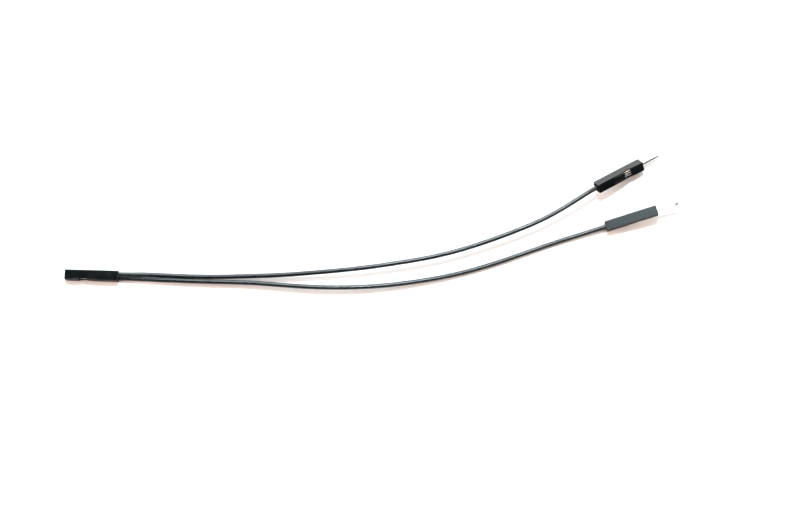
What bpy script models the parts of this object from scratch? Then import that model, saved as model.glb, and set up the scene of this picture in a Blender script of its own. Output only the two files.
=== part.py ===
# Two-into-one breadboard jumper lead, lying on a table.
# One crimp socket in a black housing joins two insulated wires, and each wire ends in a
# square pin in a housing of its own. Units are metres, +Z is up, and MM turns millimetres
# into metres.
#
# Each connector is modelled in its own frame: X runs from the mating face to the wire end,
# Z points out through the latch window, and an empty puts the connector on the table.

import math

import bmesh
import bpy
import numpy as np
from mathutils import Euler, Vector

MM = 0.001

# Housing
HOUSING_LENGTH = 14.0 * MM
HOUSING_WIDTH = 2.54 * MM
HOUSING_EDGE = 0.08 * MM
CAVITY_WIDTH = 2.12 * MM
CAVITY_MOUTH_WIDTH = 2.2 * MM
CAVITY_MOUTH_DEPTH = 0.2 * MM
FRONT_WALL = 0.7 * MM
PIN_HOLE_WIDTH = 1.0 * MM
FUNNEL_WIDTH = 1.6 * MM
FUNNEL_DEPTH = 0.35 * MM
WINDOW_START = 3.7 * MM
WINDOW_END = 5.85 * MM
WINDOW_DEPTH = 0.27 * MM
RAMP_END = 9.0 * MM
RAMP_DEPTH = 0.13 * MM
LATCH_HALF_WIDTH = 0.64 * MM
LATCH_SLIT = 0.18 * MM
LATCH_UNDERSIDE = 0.86 * MM
LATCH_ROOT = 9.2 * MM
TOOTH_UNDERSIDE = 0.64 * MM
TOOTH_END = 6.8 * MM
TOOTH_RAMP_END = 7.8 * MM

# Terminals, stamped and folded from thin strip
STRIP = 0.18 * MM
BOX_START = 0.95 * MM
BOX_END = 5.7 * MM
BOX_HALF_WIDTH = 0.78 * MM
BOX_FLOOR = -0.75 * MM
BOX_CORNER = 0.2 * MM
BOX_SEAM = 0.06 * MM
NECK_START = 6.5 * MM
NECK_HALF_WIDTH = 0.56 * MM
NECK_WALL = 0.45 * MM
CORE_CRIMP_START = 8.1 * MM
CORE_CRIMP_END = 9.8 * MM
CORE_CRIMP_FLOOR = -0.74 * MM
CORE_CRIMP_SHOULDER = -0.02 * MM
SINGLE_CORE_CRIMP_HALF_WIDTH = 0.42 * MM
DOUBLE_CORE_CRIMP_HALF_WIDTH = 0.62 * MM
WING_TIP = 0.12 * MM
JACKET_CRIMP_START = 11.25 * MM
JACKET_CRIMP_END = 13.15 * MM
SINGLE_JACKET_CRIMP_RADIUS = 0.66 * MM
DOUBLE_JACKET_CRIMP_HALF_WIDTH = 0.89 * MM
DOUBLE_JACKET_CRIMP_CORNER = 0.35 * MM
DOUBLE_JACKET_CRIMP_SEAM = 0.5 * MM
TAIL_END = 13.4 * MM
CRIMP_FLARE = 0.06 * MM
CRIMP_EASE = 0.3 * MM

# Contact leaf inside the socket, as X and Z from its fold at the box's front edge
LEAF_PROFILE = [(0.86 * MM, -0.7 * MM), (0.86 * MM, -0.55 * MM), (0.95 * MM, -0.49 * MM),
                (1.5 * MM, -0.46 * MM), (2.3 * MM, -0.4 * MM), (2.8 * MM, -0.39 * MM),
                (3.3 * MM, -0.41 * MM), (4.2 * MM, -0.48 * MM)]

# Pin
PIN_WIDTH = 0.64 * MM
PIN_EDGE = 0.06 * MM
PIN_REACH = 6.0 * MM
PIN_TAPER = 0.9 * MM
PIN_TIP_WIDTH = 0.26 * MM
PIN_TIP_BLUNT = 0.05 * MM
PIN_ROOT = 2.2 * MM
PIN_WRAP_START = 1.3 * MM
PIN_WRAP_END = 1.9 * MM
PIN_WRAP_HALF_WIDTH = 0.36 * MM
PIN_WRAP_CORNER = 0.08 * MM
PIN_SHOULDER_END = 2.9 * MM

# Wires
WIRE_DIAMETER = 1.2 * MM
WIRE_STEP = 3.6 * MM
WIRE_START = 11.1 * MM
PAIR_OFFSET = 0.44 * MM
PINCHED_PAIR_OFFSET = 0.35 * MM
PINCHED_PAIR_RATIO = 0.72
PINCHED_SINGLE_RATIO = 0.91
CORE_GAP = 0.03 * MM
CORE_END = 7.85 * MM
STRAND_RADIUS = 0.08 * MM
OUTER_STRANDS = 6
STRAND_TWIST_PER_MM = math.radians(28.0)
CORE_PAIR_OFFSET = 0.26 * MM
CORE_CRIMP_CENTRE = -0.39 * MM

# Where each connector's mating face is, and how it is turned (degrees, X then Y then Z)
SOCKET_PLACE = (Vector((-80.31, -15.52, 1.27)) * MM, (90.0, 0.0, -1.62))
UPPER_PIN_PLACE = (Vector((70.92, 14.15, 1.74)) * MM, (-43.2, -7.5, -150.7))
LOWER_PIN_PLACE = (Vector((74.60, 1.43, 2.89)) * MM, (178.6, 6.6, -163.2))

# Free routes of the wires, socket to pin, in millimetres
UPPER_ROUTE = [
    (-61.3, -15.50, 1.60), (-53.7, -15.70, 1.33), (-46.2, -15.97, 1.23), (-38.6, -16.01, 1.34),
    (-31.1, -15.87, 1.59), (-23.5, -15.64, 1.92), (-16.0, -15.19, 2.38), (-8.5, -14.58, 2.75),
    (-0.9, -13.76, 2.94), (6.5, -12.68, 3.00), (14.0, -11.39, 3.03), (21.4, -9.66, 3.06),
    (28.6, -7.44, 3.12), (35.7, -4.86, 3.25), (42.7, -1.99, 3.45), (49.4, 1.48, 3.72),
    (55.8, 5.52, 3.84),
]
LOWER_ROUTE = [
    (-61.3, -16.56, 0.95), (-53.7, -16.94, 1.24), (-46.2, -17.24, 1.40), (-38.6, -17.46, 1.48),
    (-31.0, -17.74, 1.58), (-23.4, -18.32, 1.73), (-15.9, -18.84, 1.91), (-8.3, -19.00, 1.96),
    (-0.7, -18.72, 1.81), (6.9, -17.96, 1.52), (14.4, -16.80, 1.18), (21.8, -15.26, 0.85),
    (29.1, -13.26, 0.67), (36.3, -10.87, 0.62), (43.4, -8.34, 0.61), (50.6, -5.90, 0.64),
    (57.9, -3.63, 0.93),
]

FLOOR_COLUMN = 9  # index of the strip's middle column in every terminal section


def clear_scene():
    for old in list(bpy.data.objects):
        bpy.data.objects.remove(old, do_unlink=True)


def make_material(name, colour, roughness, metallic):
    material = bpy.data.materials.new(name)
    material.use_nodes = True
    shader = material.node_tree.nodes["Principled BSDF"]
    shader.inputs["Base Color"].default_value = (*colour, 1.0)
    shader.inputs["Roughness"].default_value = roughness
    shader.inputs["Metallic"].default_value = metallic
    return material


def add_object(name, data, material=None, parent=None):
    item = bpy.data.objects.new(name, data)
    bpy.context.scene.collection.objects.link(item)
    if material:
        data.materials.clear()
        data.materials.append(material)
    item.parent = parent
    return item


def mesh_from(bm, name):
    bmesh.ops.recalc_face_normals(bm, faces=bm.faces)
    mesh = bpy.data.meshes.new(name)
    bm.to_mesh(mesh)
    bm.free()
    return mesh


def evaluated_mesh(item, name):
    bpy.context.view_layer.update()
    graph = bpy.context.evaluated_depsgraph_get()
    mesh = bpy.data.meshes.new_from_object(item.evaluated_get(graph))
    mesh.name = name
    return mesh


def loft_rings(bm, rings):
    """Skin closed rings of equal point count, with a cap on each end."""
    loops = [[bm.verts.new(point) for point in ring] for ring in rings]
    count = len(loops[0])
    for near, far in zip(loops, loops[1:]):
        for i in range(count):
            j = (i + 1) % count
            bm.faces.new((near[i], near[j], far[j], far[i]))
    bm.faces.new(loops[0])
    bm.faces.new(loops[-1])


def square_ring(x, width, edge=0.0):
    """A square across X, its corners cut by edge."""
    half = width / 2
    if not edge:
        return [(x, y * half, z * half) for y, z in ((-1, -1), (1, -1), (1, 1), (-1, 1))]
    inner = half - edge
    return [(x, -inner, -half), (x, inner, -half), (x, half, -inner), (x, half, inner),
            (x, inner, half), (x, -inner, half), (x, -half, inner), (x, -half, -inner)]


def prism_mesh(name, outline, half_width):
    """A solid of constant width across Y from an outline of X, Z points."""
    bm = bmesh.new()
    loft_rings(bm, [[(x, y, z) for x, z in outline] for y in (-half_width, half_width)])
    return mesh_from(bm, name)


def slot_mesh(name, low, high):
    """A plain box between two corners."""
    outline = [(low[0], low[2]), (high[0], low[2]), (high[0], high[2]), (low[0], high[2])]
    bm = bmesh.new()
    loft_rings(bm, [[(x, y, z) for x, z in outline] for y in (low[1], high[1])])
    return mesh_from(bm, name)


# Housing


def housing_body():
    bm = bmesh.new()
    loft_rings(bm, [square_ring(0.0, HOUSING_WIDTH), square_ring(HOUSING_LENGTH, HOUSING_WIDTH)])
    bmesh.ops.bevel(bm, geom=bm.edges[:], offset=HOUSING_EDGE, segments=2, profile=0.5,
                    affect="EDGES")
    return mesh_from(bm, "housing_body")


def cavity_cutter():
    """The terminal's square chamber, flared where the wires come in."""
    bm = bmesh.new()
    past = 1.0 * MM
    loft_rings(bm, [
        square_ring(FRONT_WALL, CAVITY_WIDTH),
        square_ring(HOUSING_LENGTH - CAVITY_MOUTH_DEPTH, CAVITY_WIDTH),
        square_ring(HOUSING_LENGTH, CAVITY_MOUTH_WIDTH),
        square_ring(HOUSING_LENGTH + past, CAVITY_MOUTH_WIDTH),
    ])
    return mesh_from(bm, "cavity_cutter")


def pin_hole_cutter():
    """The square hole in the front wall, with its lead-in funnel."""
    bm = bmesh.new()
    past = 0.2 * MM
    loft_rings(bm, [
        square_ring(-past, FUNNEL_WIDTH),
        square_ring(0.0, FUNNEL_WIDTH),
        square_ring(FUNNEL_DEPTH, PIN_HOLE_WIDTH),
        square_ring(FRONT_WALL + past, PIN_HOLE_WIDTH),
    ])
    return mesh_from(bm, "pin_hole_cutter")


def window_cutter():
    """The full-width step that shows the terminal, and the shallow ramp behind it."""
    top = HOUSING_WIDTH / 2
    above = top + 1.0 * MM
    outline = [(WINDOW_START, top - WINDOW_DEPTH), (WINDOW_END, top - WINDOW_DEPTH),
               (WINDOW_END, top - RAMP_DEPTH), (RAMP_END, top), (RAMP_END, above),
               (WINDOW_START, above)]
    return prism_mesh("window_cutter", outline, HOUSING_WIDTH)


def latch_block():
    """The thickened latch tongue, with a tooth that drops behind the terminal's box."""
    top = HOUSING_WIDTH / 2 - RAMP_DEPTH - 0.02 * MM
    outline = [(WINDOW_END, TOOTH_UNDERSIDE), (TOOTH_END, TOOTH_UNDERSIDE),
               (TOOTH_RAMP_END, LATCH_UNDERSIDE), (LATCH_ROOT, LATCH_UNDERSIDE),
               (LATCH_ROOT, top), (WINDOW_END, top)]
    return prism_mesh("latch_block", outline, LATCH_HALF_WIDTH)


def slit_cutter(side):
    near = side * LATCH_HALF_WIDTH
    far = side * (LATCH_HALF_WIDTH + LATCH_SLIT)
    low = (WINDOW_END - 0.1 * MM, min(near, far), 0.5 * MM)
    high = (RAMP_END - 0.1 * MM, max(near, far), HOUSING_WIDTH)
    return slot_mesh("slit_cutter", low, high)


def housing_mesh():
    """One housing's mesh, which all the housings share."""
    body = add_object("housing_form", housing_body())
    tools = []
    steps = [(cavity_cutter(), "DIFFERENCE"), (pin_hole_cutter(), "DIFFERENCE"),
             (window_cutter(), "DIFFERENCE"), (latch_block(), "UNION"),
             (slit_cutter(-1), "DIFFERENCE"), (slit_cutter(1), "DIFFERENCE")]
    for mesh, operation in steps:
        tool = add_object(mesh.name, mesh)
        tools.append(tool)
        step = body.modifiers.new(mesh.name, "BOOLEAN")
        step.object = tool
        step.operation = operation
        step.solver = "EXACT"
    mesh = evaluated_mesh(body, "housing")
    for item in [body, *tools]:
        bpy.data.objects.remove(item, do_unlink=True)
    return mesh


# Terminals. A section is the strip's middle line across X, from the left edge round the
# floor to the right edge, as Y, Z points with the same columns in every section.


def mirrored(left_half):
    """Complete a section whose last point is the middle of the floor."""
    return left_half + [(-y, z) for y, z in reversed(left_half[:-1])]


def box_section(half_width, floor, top, corner, seam):
    inner = half_width - corner
    bend = corner * (1 - math.sqrt(0.5))
    return mirrored([
        (-seam / 2, top), (-inner, top), (-half_width + bend, top - bend),
        (-half_width, top - corner), (-half_width, (top + floor) / 2),
        (-half_width, floor + corner), (-half_width + bend, floor + bend),
        (-inner, floor), (-inner / 2, floor), (0.0, floor),
    ])


def core_crimp_section(half_width, floor, shoulder):
    """Both wings rolled over and down onto the bare strands."""
    radius = (half_width - WING_TIP) / 2
    centre = -(half_width + WING_TIP) / 2
    wing = [(centre + radius * math.cos(math.radians(a)), shoulder + radius * math.sin(math.radians(a)))
            for a in (-10, 38, 86, 134, 180)]
    corner = 0.16 * MM
    bend = corner * (1 - math.sqrt(0.5))
    inner = half_width - corner
    return mirrored(wing + [
        (-half_width, floor + corner), (-half_width + bend, floor + bend),
        (-inner, floor), (-inner / 2, floor), (0.0, floor),
    ])


def ring_section(radius):
    """Wings closed into a ring round one wire's jacket."""
    first = math.degrees(math.asin((BOX_SEAM + STRIP) / 2 / radius))
    angles = np.radians(np.linspace(90 + first, 270, FLOOR_COLUMN + 1))
    return mirrored([(radius * math.cos(a), radius * math.sin(a)) for a in angles])


def strip_mesh(name, rows, leaf=()):
    """Folded strip from rows of (x, section, reach).

    Reach is how many columns of strip, counted from the middle of the floor, run on to the
    next row. The leaf is a tongue of X, Z points bent back inside from the floor's front edge.
    """
    bm = bmesh.new()
    grid = [[(x, y, z) for y, z in section] for x, section, _ in rows]
    verts = {}

    def vert(row, column):
        if (row, column) not in verts:
            verts[row, column] = bm.verts.new(grid[row][column])
        return verts[row, column]

    for row, (_, _, reach) in enumerate(rows[:-1]):
        for column in range(FLOOR_COLUMN - reach, FLOOR_COLUMN + reach):
            bm.faces.new((vert(row, column), vert(row, column + 1),
                          vert(row + 1, column + 1), vert(row + 1, column)))
    last = [vert(0, FLOOR_COLUMN + k) for k in (-1, 0, 1)]
    for x, z in leaf:
        fresh = [bm.verts.new((x, v.co.y, z)) for v in last]
        for k in range(2):
            bm.faces.new((last[k], fresh[k], fresh[k + 1], last[k + 1]))
        last = fresh
    return mesh_from(bm, name)


def thicken(item):
    solid = item.modifiers.new("strip_thickness", "SOLIDIFY")
    solid.thickness = STRIP
    solid.offset = 0.0
    solid.use_even_offset = True
    solid.thickness_clamp = 0.0


def rear_rows(core_half_width, jacket_section):
    """Neck, bare-core crimp and jacket crimp, shared by the socket and the pins."""
    wall_top = BOX_FLOOR + 2 * NECK_WALL
    neck = box_section(NECK_HALF_WIDTH, BOX_FLOOR, wall_top, BOX_CORNER, BOX_SEAM)
    tight = core_crimp_section(core_half_width, CORE_CRIMP_FLOOR, CORE_CRIMP_SHOULDER)
    mouth = core_crimp_section(core_half_width + CRIMP_FLARE, CORE_CRIMP_FLOOR - CRIMP_FLARE,
                               CORE_CRIMP_SHOULDER + CRIMP_FLARE)
    return [
        (NECK_START, neck, 5),
        (CORE_CRIMP_START - CRIMP_EASE, neck, 5),
        (CORE_CRIMP_START, mouth, 9),
        (CORE_CRIMP_START + CRIMP_EASE, tight, 9),
        (CORE_CRIMP_END - CRIMP_EASE, tight, 9),
        (CORE_CRIMP_END, mouth, 4),
        (JACKET_CRIMP_START, jacket_section, 9),
        ((JACKET_CRIMP_START + JACKET_CRIMP_END) / 2, jacket_section, 9),
        (JACKET_CRIMP_END, jacket_section, 2),
        (TAIL_END, jacket_section, 0),
    ]


def socket_terminal_mesh():
    box = box_section(BOX_HALF_WIDTH, BOX_FLOOR, -BOX_FLOOR, BOX_CORNER, BOX_SEAM)
    jacket = box_section(DOUBLE_JACKET_CRIMP_HALF_WIDTH, -DOUBLE_JACKET_CRIMP_HALF_WIDTH,
                         DOUBLE_JACKET_CRIMP_HALF_WIDTH, DOUBLE_JACKET_CRIMP_CORNER,
                         DOUBLE_JACKET_CRIMP_SEAM)
    middle = (BOX_START + BOX_END) / 2
    rows = [(BOX_START, box, 9), (middle, box, 9), (BOX_END, box, 5)]
    rows += rear_rows(DOUBLE_CORE_CRIMP_HALF_WIDTH, jacket)
    form = add_object("socket_form", strip_mesh("socket_strip", rows, LEAF_PROFILE))
    thicken(form)
    mesh = evaluated_mesh(form, "socket_terminal")
    bpy.data.objects.remove(form, do_unlink=True)
    return mesh


def pin_bar_mesh():
    """The square pin, tapered to a blunt tip and running back into the folded body."""
    bm = bmesh.new()
    tip_edge = PIN_EDGE / 2
    loft_rings(bm, [
        square_ring(-PIN_REACH, PIN_TIP_WIDTH - 2 * PIN_TIP_BLUNT, tip_edge),
        square_ring(-PIN_REACH + PIN_TIP_BLUNT, PIN_TIP_WIDTH, tip_edge),
        square_ring(-PIN_REACH + PIN_TAPER, PIN_WIDTH, PIN_EDGE),
        square_ring(PIN_ROOT, PIN_WIDTH, PIN_EDGE),
    ])
    return mesh_from(bm, "pin_bar")


def pin_terminal_mesh():
    wrap = box_section(PIN_WRAP_HALF_WIDTH, -PIN_WRAP_HALF_WIDTH, PIN_WRAP_HALF_WIDTH,
                       PIN_WRAP_CORNER, BOX_SEAM)
    box = box_section(BOX_HALF_WIDTH, BOX_FLOOR, -BOX_FLOOR, BOX_CORNER, BOX_SEAM)
    rows = [(PIN_WRAP_START, wrap, 9), (PIN_WRAP_END, wrap, 9), (PIN_SHOULDER_END, box, 9),
            (BOX_END, box, 5)]
    rows += rear_rows(SINGLE_CORE_CRIMP_HALF_WIDTH, ring_section(SINGLE_JACKET_CRIMP_RADIUS))
    form = add_object("pin_form", strip_mesh("pin_strip", rows))
    thicken(form)
    bar = add_object("pin_bar", pin_bar_mesh())
    join = form.modifiers.new("pin", "BOOLEAN")
    join.object = bar
    join.operation = "UNION"
    join.solver = "EXACT"
    mesh = evaluated_mesh(form, "pin_terminal")
    for item in (form, bar):
        bpy.data.objects.remove(item, do_unlink=True)
    return mesh


# Wires


def core_outline():
    """Outline of six strands laid round one, as radius and angle."""
    centre = 2 * STRAND_RADIUS
    lobe = 2 * math.pi / OUTER_STRANDS
    points = []
    for strand in range(OUTER_STRANDS):
        for part in range(4):
            off = (part / 4 - 0.5) * lobe
            reach = math.sqrt(max(STRAND_RADIUS ** 2 - (centre * math.sin(off)) ** 2, 0.0))
            points.append((centre * math.cos(off) + reach, strand * lobe + off))
    return points


def core_mesh(name, start, bend_side):
    """Bare strands from the jacket's cut end, down into the core crimp."""
    start_y, start_z = start
    x_wire = WIRE_START - CORE_GAP
    x_bent = CORE_CRIMP_END + 0.15 * MM
    end_y = bend_side * CORE_PAIR_OFFSET
    outline = core_outline()
    stations = 13
    rings = []
    for i in range(stations):
        x = x_wire + (CORE_END - x_wire) * i / (stations - 1)
        along = min(max((x_wire - x) / (x_wire - x_bent), 0.0), 1.0)
        ease = along * along * (3 - 2 * along)
        centre = Vector((x, start_y + (end_y - start_y) * ease,
                         start_z + (CORE_CRIMP_CENTRE - start_z) * ease))
        turn = (x_wire - x) / MM * STRAND_TWIST_PER_MM
        rings.append([(centre.x, centre.y + r * math.cos(a + turn), centre.z + r * math.sin(a + turn))
                      for r, a in outline])
    bm = bmesh.new()
    loft_rings(bm, rings)
    return mesh_from(bm, name)


def smooth_route(knots, step):
    """Natural cubic spline through the knots, sampled at every knot and about every step."""
    points = np.array(knots, dtype=float)
    chord = np.linalg.norm(np.diff(points, axis=0), axis=1)
    count = len(points)
    system = np.eye(count)
    right = np.zeros((count, 3))
    slope = np.diff(points, axis=0) / chord[:, None]
    for i in range(1, count - 1):
        system[i, i - 1] = chord[i - 1]
        system[i, i] = 2 * (chord[i - 1] + chord[i])
        system[i, i + 1] = chord[i]
        right[i] = 6 * (slope[i] - slope[i - 1])
    bend = np.linalg.solve(system, right)
    samples = []
    for i, length in enumerate(chord):
        parts = max(1, round(length / step))
        for part in range(parts):
            t = length * part / parts
            back = length - t
            samples.append(
                (bend[i] * back ** 3 + bend[i + 1] * t ** 3) / (6 * length)
                + (points[i] / length - bend[i] * length / 6) * back
                + (points[i + 1] / length - bend[i + 1] * length / 6) * t)
    return samples + [points[-1]]


def seat_points(side):
    """A wire's path and squeeze inside the socket housing, side 1 or -1 of the pair."""
    stations = [
        (WIRE_START, PINCHED_PAIR_OFFSET, PINCHED_PAIR_RATIO),
        (JACKET_CRIMP_START + 1.0 * MM, PINCHED_PAIR_OFFSET, PINCHED_PAIR_RATIO),
        (JACKET_CRIMP_END, PINCHED_PAIR_OFFSET, PINCHED_PAIR_RATIO),
        (JACKET_CRIMP_END + 0.5 * MM, 0.42 * MM, 0.93),
        (HOUSING_LENGTH + 0.3 * MM, PAIR_OFFSET, 1.0),
        (HOUSING_LENGTH + 2.0 * MM, PAIR_OFFSET, 1.0),
    ]
    return [(Vector((x, side * off, -side * off)), ratio) for x, off, ratio in stations]


def single_seat_points():
    """A wire's path and squeeze inside a pin housing, outside end first."""
    stations = [
        (HOUSING_LENGTH + 1.0 * MM, 1.0),
        (JACKET_CRIMP_END + 0.5 * MM, 1.0),
        (JACKET_CRIMP_END, PINCHED_SINGLE_RATIO),
        (JACKET_CRIMP_START + 1.0 * MM, PINCHED_SINGLE_RATIO),
        (WIRE_START, PINCHED_SINGLE_RATIO),
    ]
    return [(Vector((x, 0.0, 0.0)), ratio) for x, ratio in stations]


def add_wire(name, material, socket, pin, route, side):
    """One insulated wire: seated in the socket, free along its route, seated at the pin."""
    head = [(socket.matrix_world @ place, ratio) for place, ratio in seat_points(side)]
    tail = [(pin.matrix_world @ place, ratio) for place, ratio in single_seat_points()]
    free = [Vector(point) * MM for point in route]
    samples = smooth_route([p for p, _ in head] + free + [p for p, _ in tail], WIRE_STEP)
    curve = bpy.data.curves.new(name, "CURVE")
    curve.dimensions = "3D"
    curve.bevel_depth = WIRE_DIAMETER / 2
    curve.bevel_resolution = 2
    curve.use_fill_caps = True
    spline = curve.splines.new("POLY")
    spline.points.add(len(samples) - 1)
    squeezed = [(p, ratio) for p, ratio in head + tail if ratio < 1.0]
    for point, place in zip(spline.points, samples):
        point.co = (*place, 1.0)
        for seat, ratio in squeezed:
            if (Vector(place) - seat).length < 0.01 * MM:
                point.radius = ratio
    return add_object(name, curve, material)


# Assembly


def add_connector_frame(name, place):
    position, turn = place
    frame = bpy.data.objects.new(name, None)
    bpy.context.scene.collection.objects.link(frame)
    frame.location = position
    frame.rotation_euler = Euler([math.radians(a) for a in turn], "XYZ")
    return frame


def main():
    clear_scene()
    plastic = make_material("black_housing_plastic", (0.018, 0.02, 0.022), 0.42, 0.0)
    jacket = make_material("black_wire_jacket", (0.014, 0.015, 0.017), 0.38, 0.0)
    tin = make_material("tin_plate", (0.74, 0.72, 0.67), 0.3, 1.0)
    copper = make_material("copper_strand", (0.78, 0.45, 0.3), 0.35, 1.0)

    socket = add_connector_frame("socket_frame", SOCKET_PLACE)
    upper_pin = add_connector_frame("upper_pin_frame", UPPER_PIN_PLACE)
    lower_pin = add_connector_frame("lower_pin_frame", LOWER_PIN_PLACE)
    bpy.context.view_layer.update()

    housing = housing_mesh()
    pin_terminal = pin_terminal_mesh()
    add_object("socket_housing", housing, plastic, socket)
    add_object("upper_pin_housing", housing, plastic, upper_pin)
    add_object("lower_pin_housing", housing, plastic, lower_pin)
    add_object("socket_terminal", socket_terminal_mesh(), tin, socket)
    add_object("upper_pin_terminal", pin_terminal, tin, upper_pin)
    add_object("lower_pin_terminal", pin_terminal, tin, lower_pin)

    add_wire("upper_wire", jacket, socket, upper_pin, UPPER_ROUTE, 1)
    add_wire("lower_wire", jacket, socket, lower_pin, LOWER_ROUTE, -1)

    for name, side, pin in (("upper", 1, upper_pin), ("lower", -1, lower_pin)):
        start = (side * PINCHED_PAIR_OFFSET, -side * PINCHED_PAIR_OFFSET)
        socket_core = core_mesh(f"{name}_socket_core", start, side)
        add_object(f"{name}_wire_core_at_socket", socket_core, copper, socket)
        pin_core = core_mesh(f"{name}_pin_core", (0.0, 0.0), 0)
        add_object(f"{name}_wire_core_at_pin", pin_core, copper, pin)


main()
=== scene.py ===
import math

import bmesh
import bpy
import numpy as np
from mathutils import Euler, Matrix, Vector


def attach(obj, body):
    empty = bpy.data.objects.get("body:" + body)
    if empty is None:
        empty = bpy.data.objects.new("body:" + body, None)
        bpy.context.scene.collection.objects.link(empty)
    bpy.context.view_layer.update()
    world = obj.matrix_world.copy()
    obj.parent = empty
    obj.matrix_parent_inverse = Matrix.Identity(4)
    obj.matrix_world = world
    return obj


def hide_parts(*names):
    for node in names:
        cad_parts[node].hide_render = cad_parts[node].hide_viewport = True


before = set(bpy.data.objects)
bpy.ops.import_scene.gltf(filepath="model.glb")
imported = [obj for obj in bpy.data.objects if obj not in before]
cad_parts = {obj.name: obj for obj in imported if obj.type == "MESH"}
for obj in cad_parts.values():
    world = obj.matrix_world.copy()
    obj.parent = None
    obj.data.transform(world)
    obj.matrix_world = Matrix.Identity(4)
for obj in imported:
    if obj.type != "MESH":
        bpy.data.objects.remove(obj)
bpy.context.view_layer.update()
mm = 0.001
print("frame loaded,", len(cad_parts), "nodes")

# camera, almost straight above the table

cameraView = {
    "place": (0.00639, -0.10900, 0.47630),
    "tilt": 11.44,  # degrees off straight down
    "lens": 83.96,
    "sensor": 36.0,
    "clip": (0.01, 20.0),
}


def addCamera(view):
    data = bpy.data.cameras.new("tableCamera")
    data.lens = view["lens"]
    data.sensor_fit = "HORIZONTAL"
    data.sensor_width = view["sensor"]
    data.clip_start, data.clip_end = view["clip"]
    item = bpy.data.objects.new("tableCamera", data)
    item.location = view["place"]
    item.rotation_euler = (math.radians(view["tilt"]), 0.0, 0.0)
    bpy.context.scene.collection.objects.link(item)
    bpy.context.scene.camera = item


addCamera(cameraView)

# where each connector lies: its mating face, and its turn about X, then Y, then Z in degrees

connectorPlaces = {
    "socket": {"place": (-0.08031, -0.01552, 0.00127), "turn": (90.0, 0.0, -1.62)},
    "upperPin": {"place": (0.07092, 0.01415, 0.00174), "turn": (-43.2, -7.5, -150.7)},
    "lowerPin": {"place": (0.07460, 0.00143, 0.00289), "turn": (178.6, 6.6, -163.2)},
}


def connectorMatrix(name):
    spot = connectorPlaces[name]
    turn = Euler([math.radians(a) for a in spot["turn"]], "XYZ")
    return Matrix.Translation(spot["place"]) @ turn.to_matrix().to_4x4()


# helpers shared by the pieces

weldDistance = 0.001 * mm   # points nearer than this are one


def addPiece(name, mesh, *materials):
    item = bpy.data.objects.new(name, mesh)
    bpy.context.scene.collection.objects.link(item)
    if materials:
        mesh.materials.clear()
    for material in materials:
        mesh.materials.append(material)
    return item


# the object's mesh with its modifiers applied, and the object gone
def bakedMesh(item, name):
    bpy.context.view_layer.update()
    graph = bpy.context.evaluated_depsgraph_get()
    mesh = bpy.data.meshes.new_from_object(item.evaluated_get(graph))
    mesh.name = name
    bpy.data.objects.remove(item, do_unlink=True)
    return mesh


def sharpenOver(mesh, angle):
    mesh.shade_smooth()
    mesh.set_sharp_from_angle(angle=math.radians(angle))


# each point's place in the connector's own frame, kept for patterns that follow the piece
def keepOwnPlace(mesh):
    points = np.empty(len(mesh.vertices) * 3, np.float32)
    mesh.vertices.foreach_get("co", points)
    layer = mesh.attributes.new("ownPlace", "FLOAT_VECTOR", "POINT")
    layer.data.foreach_set("vector", points)


def dressPiece(item, slotName, *nodes):
    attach(item, "root")
    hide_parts(*nodes)


# materials. A span is the part of a noise's range over which a change runs, a bump is its strength
# and depth, and a scale is per metre, along each of the piece's own axes.

colourSpan = (0.35, 0.65)
glossSpan = (0.3, 0.7)

plasticLook = {
    "darkColour": (0.0016, 0.0027, 0.0029),
    "paleColour": (0.0034, 0.0050, 0.0054),
    "wornColour": (0.022, 0.025, 0.027),
    "roughness": (0.12, 0.18),
    "edgeOn": (0.58, 0.75),   # the moulded grain loses its gloss where it is seen edge on
    "edgeOnRoughness": 0.70,
    "grainSize": 0.05 * mm,
    "grainBump": (0.60, 0.006 * mm),
    "cloudSize": 2.2 * mm,
    "scuffLength": 1.6 * mm,
    "scuffFineness": 14,      # how many times longer than wide
    "scuffSpan": (0.66, 0.74),
    "scuffShare": 0.35,       # of the worn colour
    "scuffRoughness": 0.08,
    "scuffBump": (0.12, 0.006 * mm),
    "wornEdge": (1.14 * mm, 1.25 * mm),   # from the middle: where wear begins, and is full
    "wearSpan": (0.40, 0.62),
    "wearShare": 0.7,
    "leastWear": 0.1,
    "ior": 1.53,
    "specular": 0.55,
}

jacketLook = {
    "darkColour": (0.0018, 0.0026, 0.0029),
    "paleColour": (0.0036, 0.0048, 0.0053),
    "roughness": (0.26, 0.34),
    "lineWidth": 0.07 * mm,
    "lineLength": 4.0 * mm,
    "lineRoughness": 0.03,
    "lineBump": (0.30, 0.008 * mm),
    "spotScale": (900.0, 900.0, 500.0),
    "skinScale": (9000.0, 9000.0, 6000.0),
    "skinBump": (0.15, 0.008 * mm),
    "ior": 1.55,
    "specular": 0.65,
}

tinLook = {
    "brightColour": (0.86, 0.85, 0.82),
    "dullColour": (0.66, 0.65, 0.62),
    "dullSpan": (0.38, 0.66),
    "roughness": (0.08, 0.20),
    "cloudScale": (1500.0, 1500.0, 1500.0),
    "lineWidth": 0.03 * mm,
    "lineLength": 1.5 * mm,
    "lineRoughness": 0.03,
    "lineBump": (0.12, 0.004 * mm),
}

cutEdgeLook = {
    "colour": (0.72, 0.52, 0.30),
    "dullColour": (0.52, 0.38, 0.24),
    "roughness": (0.30, 0.50),
    "grainScale": (9000.0, 9000.0, 9000.0),
    "grainBump": (0.3, 0.006 * mm),
}

copperLook = {
    "colour": (0.86, 0.47, 0.30),
    "dullColour": (0.55, 0.27, 0.16),
    "dullSpan": (0.42, 0.72),
    "roughness": (0.20, 0.42),
    "tarnishScale": (4000.0, 4000.0, 1200.0),
    "lineScale": (30000.0, 30000.0, 900.0),
    "lineBump": (0.25, 0.003 * mm),
}


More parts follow.
